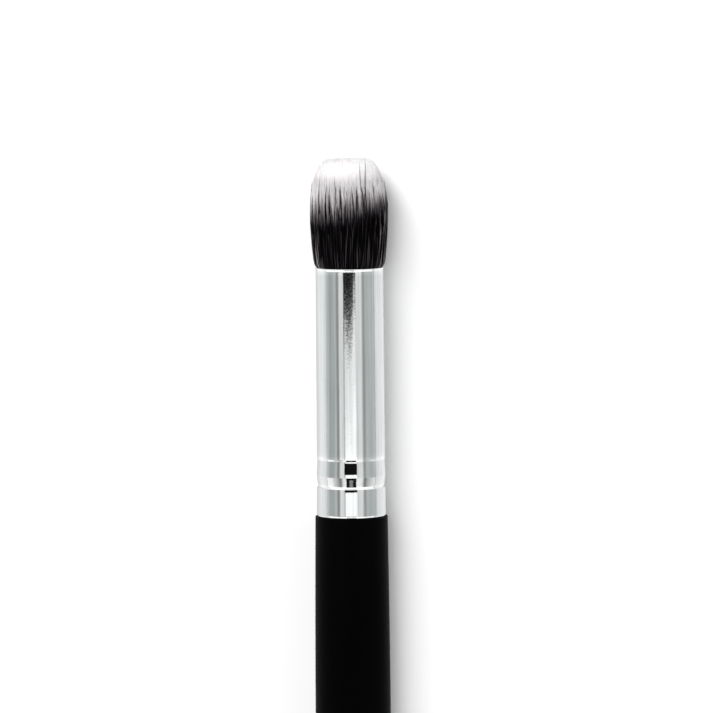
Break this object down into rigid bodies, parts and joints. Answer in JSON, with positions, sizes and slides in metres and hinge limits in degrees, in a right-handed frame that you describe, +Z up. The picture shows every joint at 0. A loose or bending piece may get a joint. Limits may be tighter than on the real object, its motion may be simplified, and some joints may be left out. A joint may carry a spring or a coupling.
{
  "type": "blending brush",
  "caption": "Make-up blending brush: a tapered matte black handle, a bright crimped ferrule and a round, flat-domed tuft of black hair with white tips.",
  "frame": {"origin": "on the surface that the brush lies on, under the middle of its length and under its axis", "axes": "+Y along the brush from the butt of the handle to the tip of the hair, +Z up from the surface"},
  "size_m": [0.0126, 0.178, 0.0126],
  "materials": {
    "black_coat": "matte",
    "plated_metal": "polished",
    "two_tone_hair": "satin",
    "thread": "matte",
    "resin": "gloss",
    "wood_glue": "matte"
  },
  "bodies": {
    "root": {"handle": "black_coat", "ferrule": "plated_metal", "hair_tuft": "two_tone_hair", "binding_thread": "thread", "root_glue": "resin", "handle_glue": "wood_glue"}
  },
  "joints": []
}
